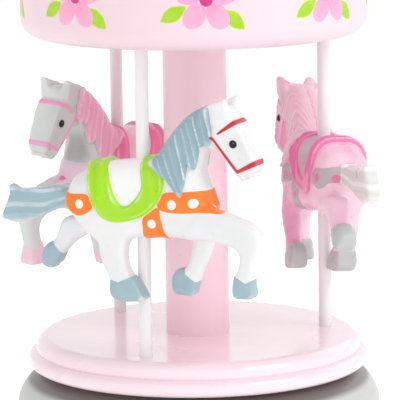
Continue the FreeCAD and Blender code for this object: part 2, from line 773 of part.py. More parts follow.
worm_pitch = math.pi * MODULE
worm_turns = 4
worm_low = size("train_z") - worm_turns * worm_pitch / 2
thread_core = size("worm_radius") - MODULE * 1.1
thread_tip = size("worm_radius") + MODULE * 0.8
helix = Part.makeHelix(worm_pitch, worm_turns * worm_pitch, size("worm_radius"))
thread_wire = Part.makePolygon([
    V(thread_core - 0.15, 0, -0.34), V(thread_tip, 0, -0.13), V(thread_tip, 0, 0.13),
    V(thread_core - 0.15, 0, 0.34), V(thread_core - 0.15, 0, -0.34),
])
thread = Part.Wire(helix).makePipeShell([thread_wire], True, True)
governor_low = size("bedplate_z") - size("governor_leg") + 0.1
governor_top = size("bedplate_z") + 1.4
thread.rotate(V(0, 0, 0), UP, -90)
thread.translate(V(0, 0, worm_low - governor_low))
worm = Part.makeCylinder(thread_core, worm_turns * worm_pitch + 0.8,
                         V(0, 0, worm_low - 0.4 - governor_low)).fuse(thread)
spindle = Part.makeCylinder(size("thin_shaft_radius"), governor_top - governor_low)
governor = free_shape("governor_worm", worm.fuse(spindle).removeSplitter())
place(governor, WORM_X, WORM_Y, governor_low)

fan = new_body("governor_fan")
fan_sketch = new_sketch(fan, "fan_outline")
fan_reach = size("fan_radius")
outline(fan_sketch, [
    (-fan_reach, -0.25), (-1.2, -0.25), (-1.2, -1.2), (1.2, -1.2), (1.2, -0.25), (fan_reach, -0.25),
    (fan_reach, 0.25), (1.2, 0.25), (1.2, 1.2), (-1.2, 1.2), (-1.2, 0.25), (-fan_reach, 0.25),
])
circles(fan_sketch, [(0, 0)], "thin_shaft_radius")
pad(fan, fan_sketch, "fan_height")
place(fan, WORM_X, WORM_Y, governor_low + 1.5)

# ---------------------------------------------------------------- horses

PLATFORM_TOP = size("platform_z") + size("platform_thickness")


def section(x, y, z, tilt, across, along):
    """An oval section: half sizes across (Y) and along its tilted in-plane direction."""
    reach = V(math.cos(math.radians(tilt)), 0, math.sin(math.radians(tilt)))
    points = [
        V(x, y, z) + V(0, across * math.cos(a), 0) + reach * (along * math.sin(a))
        for a in [(i - 2) * math.pi / 4 for i in range(8)]
    ]
    curve = Part.BSplineCurve()
    curve.interpolate(points, PeriodicFlag=True)
    return Part.Wire([curve.toShape()])


def limb(stations):
    """A smooth solid through oval sections (x, y, z, tilt, across, along); tilt 0 lies level."""
    return Part.makeLoft([section(*s) for s in stations], True, False)


def horse_solid():
    """A leaping horse facing +X; the pole runs up Z through the origin; heights above the platform."""
    trunk = limb([
        (-23.8, 0, 48.3, 90, 2.4, 3.6), (-21.6, 0, 48.6, 90, 5.6, 6.6), (-16.6, 0, 48.6, 90, 7.2, 9.4),
        (-8.0, 0, 48.8, 90, 7.4, 11.3), (2.0, 0, 49.4, 90, 7.4, 11.7), (11.0, 0, 49.3, 90, 7.4, 11.6),
        (17.6, 0, 47.8, 90, 7.0, 10.2), (22.2, 0, 46.6, 90, 5.8, 7.2), (25.0, 0, 46.0, 90, 3.4, 3.8),
    ])
    neck = limb([
        (12.6, 0, 52.0, 0, 6.6, 10.0), (13.4, 0, 60.0, 0, 5.4, 8.0), (16.4, 0, 67.0, -8, 4.6, 6.8),
        (19.6, 0, 72.0, -24, 4.2, 5.8), (24.2, 0, 76.0, -44, 3.8, 4.8), (28.4, 0, 78.2, -52, 2.6, 3.0),
    ])
    head = limb([
        (25.2, 0, 74.8, 36, 3.4, 3.6), (27.6, 0, 71.8, 40, 4.6, 6.0), (30.4, 0, 68.4, 43, 4.8, 6.5),
        (33.2, 0, 64.6, 45, 4.3, 5.7), (35.4, 0, 61.0, 48, 3.9, 4.6), (36.6, 0, 58.6, 52, 3.3, 3.3),
        (37.0, 0, 57.0, 54, 2.0, 1.8),
    ])
    near_fore = limb([
        (20.0, -3.6, 44.4, 90, 3.2, 5.6), (28.5, -4.4, 42.6, 80, 3.1, 4.6), (35.2, -4.8, 40.4, 56, 2.8, 3.8),
        (37.4, -4.9, 37.0, 6, 2.6, 3.2), (36.2, -5.1, 32.4, -12, 2.3, 3.2),
        (35.2, -5.2, 28.0, -8, 2.5, 3.4), (35.2, -5.3, 22.0, 0, 2.7, 3.5),
    ])
    far_fore = limb([
        (18.0, 4.0, 42.0, 0, 3.0, 5.0), (17.8, 4.6, 36.6, -6, 2.8, 3.5), (15.8, 5.2, 30.4, -20, 2.4, 3.4),
        (12.6, 5.5, 25.2, -22, 2.5, 4.0), (11.4, 5.6, 19.8, 0, 2.7, 3.8),
    ])
    near_hind = limb([
        (-12.0, -3.8, 44.0, 0, 3.6, 7.0), (-8.6, -4.5, 38.0, 0, 3.2, 5.8), (-7.6, -4.8, 32.0, 6, 2.7, 4.5),
        (-5.4, -4.9, 27.0, 18, 2.6, 4.4), (-3.2, -4.9, 23.2, 16, 2.9, 5.0), (-2.6, -4.9, 19.0, 0, 3.0, 5.3),
    ])
    far_hind = limb([
        (-17.6, 3.8, 42.4, -20, 3.4, 6.2), (-23.0, 4.5, 38.0, -36, 3.0, 4.8),
        (-28.0, 4.9, 33.4, -46, 2.6, 3.9), (-30.8, 5.2, 30.4, -50, 2.6, 3.7),
        (-34.2, 5.3, 27.8, -56, 2.8, 3.4),
    ])
    tail = limb([
        (-22.0, 0, 48.4, 90, 2.4, 3.0), (-28.5, 0, 47.9, 94, 2.5, 3.8), (-34.5, 0, 46.5, 96, 2.3, 4.7),
        (-41.0, 0, 45.2, 88, 2.1, 5.4), (-45.2, 0, 45.2, 74, 1.8, 5.2), (-47.2, 0, 43.2, 68, 1.2, 3.0),
    ])
    ears = [
        limb([(26.8, 3.2 * side, 75.2, -12, 1.7, 2.6), (28.2, 4.4 * side, 78.2, -10, 1.3, 2.0),
              (29.4, 5.5 * side, 81.2, -10, 0.4, 0.5)])
        for side in (-1, 1)
    ]
    whole = trunk
    for piece in [neck, head, near_fore, far_fore, near_hind, far_hind, tail] + ears:
        whole = whole.fuse(piece)
    return whole.removeSplitter()


HORSE = horse_solid()
HORSE_FACING = {"white": -23.0, "grey": 229.5, "pink": 107.2}
for (colour, facing), (x, y) in zip(HORSE_FACING.items(), pole_spots):
    steed = HORSE.copy()
    steed.rotate(V(0, 0, 49), V(1, 0, 0), size(colour + "_roll"))
    steed.rotate(V(0, 0, 49), V(0, 1, 0), size(colour + "_lean"))
    steed = steed.cut(Part.makeCylinder(size("horse_bore_radius"), 110))
    horse = free_shape("horse_" + colour, steed)
    place(horse, x, y, PLATFORM_TOP, FreeCAD.Rotation(UP, facing))

# ---------------------------------------------------------------- export

doc.recompute()
for thing in doc.Objects:
    if "Invalid" in thing.State or "Error" in thing.State:
        raise ValueError(thing.Label + " failed: " + str(thing.State))
os.makedirs("parts", exist_ok=True)
for thing in nodes:
    shape = thing.Shape
    if shape.isNull() or not shape.isValid() or len(shape.Solids) != 1:
        raise ValueError(f"{thing.Label}: null {shape.isNull()}, {len(shape.Solids)} solids")
    shape.exportStep(f"parts/{thing.Label}.step")
print(len(nodes), "nodes written")
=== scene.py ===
import json
import math

import bpy
import numpy as np
import openvdb
from mathutils import Matrix, Vector


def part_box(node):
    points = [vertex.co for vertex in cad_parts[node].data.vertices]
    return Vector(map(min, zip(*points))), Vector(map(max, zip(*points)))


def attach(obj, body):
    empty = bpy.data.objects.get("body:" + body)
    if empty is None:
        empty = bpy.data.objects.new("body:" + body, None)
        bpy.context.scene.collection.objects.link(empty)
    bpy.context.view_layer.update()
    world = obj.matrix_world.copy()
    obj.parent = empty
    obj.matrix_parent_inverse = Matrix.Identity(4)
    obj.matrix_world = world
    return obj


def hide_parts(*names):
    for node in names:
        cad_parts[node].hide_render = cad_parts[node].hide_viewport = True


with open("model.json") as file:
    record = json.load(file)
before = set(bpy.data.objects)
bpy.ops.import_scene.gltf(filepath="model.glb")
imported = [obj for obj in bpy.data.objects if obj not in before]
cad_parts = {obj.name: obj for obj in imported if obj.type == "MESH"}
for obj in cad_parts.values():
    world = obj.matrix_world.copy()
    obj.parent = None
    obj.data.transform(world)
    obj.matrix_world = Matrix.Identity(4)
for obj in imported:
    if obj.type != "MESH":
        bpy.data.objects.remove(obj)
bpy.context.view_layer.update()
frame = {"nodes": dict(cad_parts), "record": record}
nodes = frame["nodes"]
scene = bpy.context.scene
MM = 0.001


def srgb(r, g, b):
    """A linear colour from 0-255 display values."""
    def lin(v):
        v /= 255.0
        return v / 12.92 if v <= 0.04045 else ((v + 0.055) / 1.055) ** 2.4
    return (lin(r), lin(g), lin(b), 1.0)


# ---------------------------------------------------------------- camera

ELEVATION, ROLL_LEFT, DISTANCE = math.radians(9.45), math.radians(-0.75), 0.976
AIM_X, AIM_ABOVE_PLATFORM = 0.00119, 0.0421

platform_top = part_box("platform")[1].z
aim = Vector((AIM_X, 0.0, platform_top + AIM_ABOVE_PLATFORM))
back = Vector((0, -math.cos(ELEVATION), math.sin(ELEVATION)))
lens = bpy.data.cameras.new("camera")
lens.lens = 277.5
lens.sensor_width = 36.0
lens.clip_start, lens.clip_end = 0.05, 50.0
camera = bpy.data.objects.new("camera", lens)
level = (-back).to_track_quat("-Z", "Y").to_matrix()
tilted = level @ Matrix.Rotation(ROLL_LEFT, 3, "Z")
camera.matrix_world = Matrix.Translation(aim + back * DISTANCE) @ tilted.to_4x4()
scene.collection.objects.link(camera)
scene.camera = camera
scene.view_settings.view_transform = "Standard"


# ---------------------------------------------------------------- node graphs


class Graph:
    """Builds one material's node tree with short calls; values are sockets or numbers."""

    def __init__(self, name):
        self.material = bpy.data.materials.new(name)
        self.material.use_nodes = True
        self.tree = self.material.node_tree
        self.shader = self.tree.nodes["Principled BSDF"]

    def put(self, socket, value):
        if isinstance(value, bpy.types.NodeSocket):
            self.tree.links.new(value, socket)
        else:
            socket.default_value = value

    def add(self, kind, settings=None, inputs=None):
        node = self.tree.nodes.new(kind)
        for key, value in (settings or {}).items():
            setattr(node, key, value)
        for key, value in (inputs or {}).items():
            self.put(node.inputs[key], value)
        return node

    def math(self, operation, a, b=None, c=None):
        node = self.add("ShaderNodeMath", {"operation": operation})
        for socket, value in zip(node.inputs, (a, b, c)):
            if value is not None:
                self.put(socket, value)
        return node.outputs[0]

    def length(self, a, b):
        return self.math("SQRT", self.math("ADD", self.math("MULTIPLY", a, a), self.math("MULTIPLY", b, b)))

    def mix(self, amount, a, b):
        """Colour a where amount is 0, b where it is 1."""
        node = self.add("ShaderNodeMix", {"data_type": "RGBA"})
        self.put(node.inputs[0], amount)
        self.put(node.inputs[6], a)
        self.put(node.inputs[7], b)
        return node.outputs[2]

    def ramp(self, value, low, high, start=0.0, end=1.0):
        """A soft step from start, where the value is low, to end, where it is high."""
        node = self.add("ShaderNodeMapRange", {"clamp": True, "interpolation_type": "SMOOTHSTEP"})
        for socket, number in zip(node.inputs, (value, low, high, start, end)):
            self.put(socket, number)
        return node.outputs[0]

    def place(self):
        """The point in the piece's own frame, in metres."""
        return self.add("ShaderNodeTexCoord").outputs["Object"]

    def noise(self, scale, detail=3.0, rough=0.5, vector=None, stretch=None):
        vector = vector or self.place()
        if stretch:
            vector = self.add("ShaderNodeVectorMath", {"operation": "MULTIPLY"},
                              {0: vector, 1: stretch}).outputs[0]
        return self.add("ShaderNodeTexNoise", None, {
            "Vector": vector, "Scale": scale, "Detail": detail, "Roughness": rough}).outputs["Fac"]

    def turned(self):
        """Distance from the Z axis, and height, in metres."""
        x, y, z = self.add("ShaderNodeSeparateXYZ", None, {0: self.place()}).outputs
        return self.length(x, y), z

    def rings(self, scale):
        """Noise that runs round the Z axis, as a lathe leaves it."""
        radius, z = self.turned()
        vector = self.add("ShaderNodeCombineXYZ", None, {0: radius, 1: z}).outputs[0]
        return self.noise(scale, 2.0, 0.5, vector)

    def field(self, name):
        """A number stored on the mesh's points."""
        return self.add("ShaderNodeAttribute", {"attribute_name": name}).outputs["Fac"]

    def bump(self, height, strength, reach):
        bump = self.add("ShaderNodeBump", None, {"Height": height, "Strength": strength, "Distance": reach})
        self.put(self.shader.inputs["Normal"], bump.outputs[0])

    def finish(self, colour, rough, coat=0.0, coat_rough=0.1, metal=0.0, ior=1.5):
        self.put(self.shader.inputs["Base Color"], colour)
        self.put(self.shader.inputs["Roughness"], rough)
        self.shader.inputs["Coat Weight"].default_value = coat
        self.shader.inputs["Coat Roughness"].default_value = coat_rough
        self.shader.inputs["Metallic"].default_value = metal
        self.shader.inputs["IOR"].default_value = ior
        return self.material


def wear(g, colour, paler, amount=0.35):
    """A broad cloudy variation of a colour."""
    cloud = g.noise(22.0, 4.0, 0.6)
    return g.mix(g.ramp(cloud, 0.42, 0.72, 0.0, amount), colour, paler)


# Colour of the painted shade on the base's top under the platform
PAINTED_GAP_SHADE = srgb(122, 112, 110)


def lacquer(name, colour, paler, rough=0.3, coat=0.35, grain=None, bump=0.01, gap=None, haze=0.3):
    """Sprayed gloss paint over turned wood: cloudy tint, faint turning lines, orange peel.

    A grain runs the lines along a dowel. Inside the gap radius the colour darkens to a painted shade,
    standing in for the shadow that the platform casts on the base.
    """
    g = Graph(name)
    lines = g.noise(1.0, 2.0, 0.5, stretch=grain) if grain else g.rings(500.0)
    tint = wear(g, colour, paler)
    tint = g.mix(g.ramp(lines, 0.45, 0.75, 0.0, 0.12), tint, paler)
    # Painted shade: darker colour inside the gap radius, under the platform's overhang
    if gap:
        tint = g.mix(g.ramp(g.turned()[0], gap - 0.0008, gap + 0.0012), PAINTED_GAP_SHADE, tint)
    peel = g.noise(320.0, 1.0, 0.5)
    height = g.math("ADD", g.math("MULTIPLY", peel, 0.3), g.math("MULTIPLY", lines, 0.7))
    g.bump(height, bump, 0.0002)
    return g.finish(tint, g.ramp(g.noise(45.0), 0.3, 0.7, rough - 0.06, rough + 0.08), coat, haze)


# ---------------------------------------------------------------- turned parts

GREY, PALER_GREY = srgb(200, 201, 199), srgb(212, 213, 211)
# The base is painted darker inside this radius, as shade under the platform
UNDER_PLATFORM = 0.054

shell_paint = lacquer("base_lacquer", GREY, PALER_GREY, 0.42, 0.3, gap=UNDER_PLATFORM)
platform_paint = lacquer("platform_lacquer", srgb(252, 227, 236), srgb(254, 236, 243), 0.2, 1.0, haze=0.12)
column_paint = lacquer("column_lacquer", srgb(251, 216, 228), srgb(253, 228, 237), 0.3, 0.5,
                       grain=(700.0, 700.0, 25.0), bump=0.08)
pole_paint = lacquer("pole_lacquer", srgb(240, 236, 238), srgb(250, 246, 247), 0.35, 0.3,
                     grain=(1500.0, 1500.0, 30.0), bump=0.15)
roof_paint = lacquer("roof_lacquer", srgb(248, 224, 233), srgb(252, 236, 242), 0.4, 0.3)
finial_paint = lacquer("finial_lacquer", GREY, PALER_GREY, 0.3, 0.4)

# The printed flowers. Angles run round the drum from the front; the other sizes are millimetres on its wall.
FLOWER_PITCH, FIRST_FLOWER = math.radians(45), math.radians(4)
FLOWER_ABOVE_EDGE = 0.0155
PETAL_PITCH, PETAL_TURN = math.radians(72), math.radians(17)
PETAL_OUT, PETAL_HALF_LENGTH, PETAL_HALF_WIDTH = 5.9, 4.2, 3.2
LEAVES = (((-9.9, -4.1), 4.7, 2.3, 31), ((8.2, -5.9), 4.6, 2.3, -43))  # centre, half length, half width, tilt


def canopy_material():
    """Pale pink lacquer printed with a ring of pink flowers, each with two lime leaves."""
    low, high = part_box("canopy_drum")
    radius = (high.x - low.x) / 2
    g = Graph("canopy_flowers")
    x, y, z = g.add("ShaderNodeSeparateXYZ", None, {0: g.place()}).outputs
    angle = g.math("ARCTAN2", x, g.math("MULTIPLY", y, -1.0))
    local = g.math("WRAP", g.math("SUBTRACT", angle, FIRST_FLOWER), FLOWER_PITCH / 2, -FLOWER_PITCH / 2)
    wobble = g.math("MULTIPLY", g.math("SUBTRACT", g.noise(260.0, 2.0), 0.5), 0.7)
    s = g.math("ADD", g.math("MULTIPLY", local, radius / MM), wobble)
    centre_z = (low.z + FLOWER_ABOVE_EDGE) / MM
    t = g.math("ADD", g.math("SUBTRACT", g.math("MULTIPLY", z, 1 / MM), centre_z), wobble)
    radial = g.length(s, t)
    spoke = g.math("SUBTRACT", g.math("ARCTAN2", t, s), PETAL_TURN)
    spoke = g.math("WRAP", spoke, PETAL_PITCH / 2, -PETAL_PITCH / 2)
    out = g.math("SUBTRACT", g.math("MULTIPLY", radial, g.math("COSINE", spoke)), PETAL_OUT)
    out = g.math("DIVIDE", out, PETAL_HALF_LENGTH)
    side = g.math("DIVIDE", g.math("MULTIPLY", radial, g.math("SINE", spoke)), PETAL_HALF_WIDTH)
    petal = g.length(out, side)
    cloud = g.noise(22.0, 4.0, 0.6)
    paint = g.mix(g.ramp(cloud, 0.4, 0.7, 0.0, 0.4), srgb(243, 216, 225), srgb(247, 225, 232))
    vein = g.noise(1.0, 2.0, 0.5, stretch=(300.0, 300.0, 300.0))
    for centre, half, width, tilt in LEAVES:
        c, d = math.cos(math.radians(tilt)), math.sin(math.radians(tilt))
        ds, dt = g.math("SUBTRACT", s, centre[0]), g.math("SUBTRACT", t, centre[1])
        along = g.math("ADD", g.math("MULTIPLY", ds, c), g.math("MULTIPLY", dt, d))
        across = g.math("SUBTRACT", g.math("MULTIPLY", dt, c), g.math("MULTIPLY", ds, d))
        ratio = g.math("DIVIDE", along, half)
        room = g.math("MULTIPLY", g.math("SUBTRACT", 1.0, g.math("MULTIPLY", ratio, ratio)), width)
        leaf = g.math("SUBTRACT", g.math("ABSOLUTE", across), room)
        paint = g.mix(g.ramp(leaf, -0.1, 0.1, 1.0, 0.0), paint, srgb(215, 226, 95))
        inner = g.mix(g.ramp(vein, 0.4, 0.7), srgb(163, 212, 25), srgb(176, 220, 45))
        paint = g.mix(g.ramp(leaf, -0.42, -0.22, 1.0, 0.0), paint, inner)
    bloom = g.mix(g.ramp(radial, 2.0, 9.0), srgb(253, 160, 200), srgb(255, 176, 210))
    bloom = g.mix(g.ramp(vein, 0.45, 0.75, 0.0, 0.35), bloom, srgb(255, 196, 222))
    paint = g.mix(g.ramp(petal, 0.97, 1.02, 1.0, 0.0), paint, bloom)
    paint = g.mix(g.ramp(radial, 1.85, 2.0, 1.0, 0.0), paint, srgb(220, 32, 130))
    printed = g.math("MAXIMUM", g.ramp(petal, 0.94, 1.02, 1.0, 0.0), g.ramp(radial, 1.8, 2.0, 1.0, 0.0))
    peel = g.math("MULTIPLY", g.noise(320.0, 1.0), 0.2)
    g.bump(g.math("ADD", peel, g.math("MULTIPLY", printed, 0.5)), 0.02, 0.0002)
    return g.finish(paint, g.ramp(g.noise(45.0), 0.3, 0.7, 0.34, 0.46), 0.3, 0.3)


def bare_wood():
    g = Graph("bare_wood")
    rings = g.noise(1.0, 4.0, 0.6, stretch=(45.0, 900.0, 900.0))
    tint = g.mix(g.ramp(rings, 0.35, 0.65), srgb(222, 190, 146), srgb(196, 156, 108))
    g.bump(rings, 0.3, 0.0003)
    return g.finish(tint, g.ramp(rings, 0.3, 0.7, 0.55, 0.75))


def felt():
    g = Graph("felt")
    fibre = g.noise(2600.0, 4.0, 0.7)
    tint = g.mix(g.ramp(fibre, 0.35, 0.7), srgb(96, 104, 110), srgb(140, 148, 152))
    g.bump(fibre, 0.4, 0.0003)
    g.shader.inputs["Sheen Weight"].default_value = 0.5
    return g.finish(tint, g.ramp(fibre, 0.3, 0.7, 0.85, 1.0))


def metal(name, dark, light, rough):
    g = Graph(name)
    brush = g.noise(1.0, 3.0, 0.6, stretch=(80.0, 2200.0, 2200.0))
    patina = g.noise(160.0, 4.0, 0.6)
    tint = g.mix(g.ramp(patina, 0.35, 0.7), light, dark)
    g.bump(brush, 0.15, 0.0001)
    return g.finish(tint, g.ramp(brush, 0.3, 0.7, rough - 0.08, rough + 0.1), 0.0, 0.1, 1.0)


def nylon():
    g = Graph("nylon")
    grain = g.noise(1200.0, 3.0, 0.6)
    tint = g.mix(g.ramp(grain, 0.4, 0.7), srgb(232, 228, 214), srgb(220, 214, 198))
    g.bump(grain, 0.2, 0.0001)
    g.shader.inputs["Subsurface Weight"].default_value = 0.1
    return g.finish(tint, g.ramp(grain, 0.3, 0.7, 0.4, 0.55))


finishes = {
    "base_paint": shell_paint, "platform_paint": platform_paint, "column_paint": column_paint,
    "pole_paint": pole_paint, "canopy_paint": canopy_material(), "roof_paint": roof_paint,
    "finial_paint": finial_paint, "bare_wood": bare_wood(), "felt": felt(), "nylon": nylon(),
    "plate_metal": metal("plated_steel", srgb(160, 162, 165), srgb(205, 206, 208), 0.32),
    "steel": metal("steel", srgb(140, 143, 148), srgb(190, 193, 198), 0.24),
    "spring_steel": metal("spring_steel", srgb(70, 78, 96), srgb(120, 128, 146), 0.26),
    "brass": metal("brass", srgb(178, 140, 66), srgb(222, 186, 104), 0.27),
}

# ---------------------------------------------------------------- horse: outlines
# Millimetres in the horse's own frame: u forward, z above the platform, the pole at u = 0. Seen from the
# right, so near is the right side (negative y) and far the left.

TORSO = [(-23.6, 47.2), (-23.1, 51.2), (-21.6, 55.1), (-18.2, 57), (-15.2, 58.9), (-10.5, 59.9), (-2.2, 60.7),
         (4.1, 61.5), (11, 61.6), (16.6, 59.4), (19.9, 56.8), (21.4, 51.1), (24.1, 46.7), (25, 44.7),
         (23.4, 40.1), (21.6, 38.1), (15.1, 38.2), (7.7, 38.4), (0.8, 37.7), (-4.7, 37.5), (-11.5, 37.1),
         (-17.4, 39.2), (-20.9, 43.7)]
NECK = [(6.2, 61.5), (10.5, 67.9), (15.4, 73.7), (20.2, 77.1), (25.7, 78.9), (29.4, 78.7), (30.3, 75.2),
        (25, 65.6), (22.2, 65.6), (20.6, 60.8), (20.1, 56.3), (21.8, 51.3), (21.2, 47.5), (9.7, 50.7),
        (3.6, 56.7)]
HEAD = [(26.4, 78), (28, 77.6), (31.6, 74.6), (33.6, 72.3), (35.5, 68.5), (36.7, 65.5), (37.8, 62.5),
        (38.5, 59.9), (38.2, 58.4), (37.8, 57.7), (35.6, 57.6), (33.7, 56.2), (33.3, 56.4), (32, 57.7),
        (29.5, 61.2), (26.9, 64.8), (24.7, 69.1), (24.5, 72.7), (25, 76.6)]
EAR = [(22.3, 76.5), (23.5, 79), (26.5, 80.2), (29.3, 81.4), (29.8, 80.1), (29.8, 77.8), (30, 75.2),
       (27.4, 73.2), (23.9, 73.7)]
MANE = [(4.7, 61.1), (6.7, 64.5), (9.1, 68.2), (11.6, 71.2), (14.5, 74.5), (17.9, 77), (21.3, 78.5),
        (24.4, 78.7), (24.9, 70.2), (24.3, 67.0), (23.0, 64.4), (20.2, 67.1), (20.6, 62.6), (20.3, 59.0),
        (18.6, 59.8), (16.9, 61.2), (16.8, 56.0), (15.9, 51.5), (13.6, 53.2), (11.7, 55.7)]
FORE_NEAR = [(22.3, 47.5), (28.7, 47), (32, 46), (36.2, 44.5), (39.1, 42.8), (40.7, 41), (41, 39.2),
             (40.5, 36.5), (39.5, 32.8), (38.5, 28.7), (38.2, 25.9), (38.4, 23.7), (38.1, 22), (35.7, 21.7),
             (33, 21.8), (32, 23.5), (32.2, 27.8), (33.1, 29.8), (33.9, 33.4), (33.1, 35.6), (31.2, 36.9),
             (28.3, 37.6), (23.5, 38.6), (16.6, 39.6)]
FORE_FAR = [(14.6, 38.9), (14.9, 36.2), (14.1, 32.9), (12.9, 29.2), (11.8, 27.6), (9.3, 26.8), (7.9, 24.9),
            (7.7, 22.9), (8, 20.8), (8.7, 19.6), (11.5, 19.4), (14.3, 19.5), (15.2, 22.2), (15.9, 23.8),
            (17.3, 27.2), (19.6, 31.5), (20.8, 35.2), (21.4, 38.4), (17.6, 43)]
HIND_NEAR = [(-21, 45.6), (-19.4, 44.1), (-17.8, 42.1), (-15.9, 40), (-14, 37.8), (-12.4, 35.8),
             (-12.1, 33.2), (-11.1, 29.4), (-9, 25.8), (-8.1, 23.8), (-8.2, 21.7), (-7.3, 19.5),
             (-4.4, 18.5), (-0.4, 18.7), (2.6, 19.2), (1.7, 21.2), (0.4, 23.3), (-1.5, 25.7), (-2.8, 27.7),
             (-3.7, 31.5), (-3.4, 35.5), (-2.4, 38), (0.1, 41.5), (-6.9, 46.5)]
HIND_FAR = [(-16.7, 40.9), (-25, 41.9), (-28.4, 40.7), (-29.9, 37.8), (-31.9, 33.8), (-33.7, 32.8),
            (-35.3, 31.2), (-36.3, 28.5), (-35.8, 26.4), (-34.5, 25.6), (-32.7, 25.3), (-32.1, 26),
            (-30.7, 27.1), (-29.6, 29), (-27.4, 31.7), (-23.7, 34.6), (-19.6, 36.7), (-14.7, 36.8)]
TAIL = [(-23.6, 51.8), (-24.9, 50.7), (-28.9, 51.6), (-33.4, 51.1), (-38.8, 50.2), (-42, 50), (-44.7, 51.3),
        (-44.8, 48.6), (-46.2, 44.8), (-47.7, 41.1), (-45.7, 40.3), (-42.4, 39.6), (-39, 40.5), (-34.3, 41.9),
        (-30.4, 43.7), (-26.7, 45.1), (-23.6, 45.3)]
BLANKET = [(-16, 58.2), (-15.7, 56.4), (-14.6, 51.7), (-12.7, 47.3), (-9.8, 43.8), (-4.9, 42.7), (3, 44.9),
           (8.4, 49.8), (10.2, 56.2), (7, 62.1), (5, 64), (-6, 68), (-18, 64)]
SEAT = [(-1, 64), (1.5, 60.6), (2.7, 54), (0.2, 49.8), (-3.3, 47.8), (-6.2, 51.2), (-8, 57), (-9.7, 60.3),
        (-11.9, 63.3), (-7, 68)]
BREAST = [(7.9, 48.8), (9.9, 52.3), (18.2, 53.2), (21.9, 53.1), (23.8, 52.0), (25.8, 50.2), (28.8, 48.2),
          (28.4, 46.9), (24.3, 47.0), (17.1, 46.6), (11.8, 46.6), (8.9, 47.2)]
GIRTH = [(7.9, 47.8), (9.2, 43.9), (10, 39.8), (10.2, 36.4), (2.9, 36.4), (2.9, 41.4), (3.3, 44.8)]
REAR = [(-24.7, 51), (-20.8, 50.7), (-16.1, 51), (-14.1, 50.1), (-13.1, 48), (-13.6, 46.1), (-16.7, 44.4),
        (-19.2, 44.4), (-22.1, 46), (-24.7, 46.4)]
HOOF_LINES = [
    [(31.5, 28.5), (34.3, 27.5), (36.2, 26.3), (38.1, 27.3), (41.1, 28.2), (41.1, 19.3), (31.1, 19.3)],
    [(10.1, 29.7), (11.8, 28.7), (12.3, 25.9), (15.4, 23.6), (17.9, 23.5), (17.9, 17.1), (4.9, 17.1),
     (4.9, 27.1)],
    [(-9.4, 24.6), (-7.5, 24.8), (-5.3, 24.3), (-2.3, 25.6), (0.4, 26.8), (3.2, 27.9), (7.2, 19.4),
     (-1.8, 15.4), (-9.8, 16.4)],
    [(-33.1, 35.4), (-31.9, 33.2), (-30.4, 31.8), (-28.4, 29.3), (-26.5, 27.4), (-31.5, 21.4),
     (-39.5, 23.4), (-38.5, 33.4)],
]
# Lines as (u, z, half width)
BROWBAND = [(26.8, 70.8, 0.35), (31.6, 74, 0.75), (35.2, 76.3, 0.95), (40, 78.5, 0.9)]
CHEEK = [(24.8, 69.5, 0.45), (32.5, 59.3, 0.5)]
NOSEBAND = [(32.5, 59.3, 0.5), (37.7, 61.9, 0.8), (40.9, 63.6, 0.85), (44.9, 65.6, 0.85)]
MOUTH = [(42.6, 59.8, 0), (39.6, 59.4, 0), (36.9, 58.9, 0)]
CREASE = [(33.1, 63.5, 0), (36, 62.3, 0)]
# Dots on both flanks as (u, z, radius), and on the chest and rump as (forward or back, y, z, radius)
DOTS = [(13, 49.1, 1.5), (19.6, 49.7, 1.45), (6, 42.8, 1.4), (-17.6, 47.8, 1.4)]
END_DOTS = [(1, 1.6, 48.9, 1.3), (-1, 4.5, 47.4, 1.3)]
EYE = (31.5, 67.8)

# ---------------------------------------------------------------- horse: sculpting

CELL = 0.4
FAR_OFF = 9.0
U = np.arange(-51.0, 43.2, CELL)
Y = np.arange(-11.2, 11.4, CELL)
Z = np.arange(14.8, 85.2, CELL)
FLAT_U, FLAT_Z = np.meshgrid(U, Z, indexing="ij")
GU, GY, GZ = U[:, None, None], Y[None, :, None], Z[None, None, :]


def smooth(x, low, high):
    t = np.clip((x - low) / (high - low), 0.0, 1.0)
    return t * t * (3 - 2 * t)


def rounded(points, per=6):
    """A closed smooth line through the points."""
    p = np.array(points, float)
    a, b, c, d = np.roll(p, 1, 0), p, np.roll(p, -1, 0), np.roll(p, -2, 0)
    t = (np.arange(per) / per)[None, :, None]
    a, b, c, d = (q[:, None, :] for q in (a, b, c, d))
    line = 0.5 * (2 * b + (c - a) * t + (2 * a - 5 * b + 4 * c - d) * t ** 2
                  + (3 * b - a - 3 * c + d) * t ** 3)
    return line.reshape(-1, 2)


def area(points, u=FLAT_U, z=FLAT_Z, soft=True):
    """Signed distance to an outline in the side view, negative inside."""
    line = rounded(points) if soft else np.array(points, float)
    best = np.full(u.shape, 1e9)
    inside = np.zeros(u.shape, bool)
    for (u0, z0), (u1, z1) in zip(line, np.roll(line, -1, 0)):
        du, dz = u1 - u0, z1 - z0
        t = np.clip(((u - u0) * du + (z - z0) * dz) / max(du * du + dz * dz, 1e-9), 0, 1)
        best = np.minimum(best, (u - u0 - t * du) ** 2 + (z - z0 - t * dz) ** 2)
        crosses = (z0 > z) != (z1 > z)
        with np.errstate(divide="ignore", invalid="ignore"):
            inside ^= crosses & (u < (u1 - u0) * (z - z0) / (z1 - z0) + u0)
    return np.where(inside, -1.0, 1.0) * np.sqrt(best)


def band(points, u=FLAT_U, z=FLAT_Z):
    """Signed distance to an open line of changing half width."""
    best = np.full(u.shape, 1e9)
    for (u0, z0, w0), (u1, z1, w1) in zip(points, points[1:]):
        du, dz = u1 - u0, z1 - z0
        t = np.clip(((u - u0) * du + (z - z0) * dz) / (du * du + dz * dz), 0, 1)
        best = np.minimum(best, np.hypot(u - u0 - t * du, z - z0 - t * dz) - (w0 + (w1 - w0) * t))
    return best


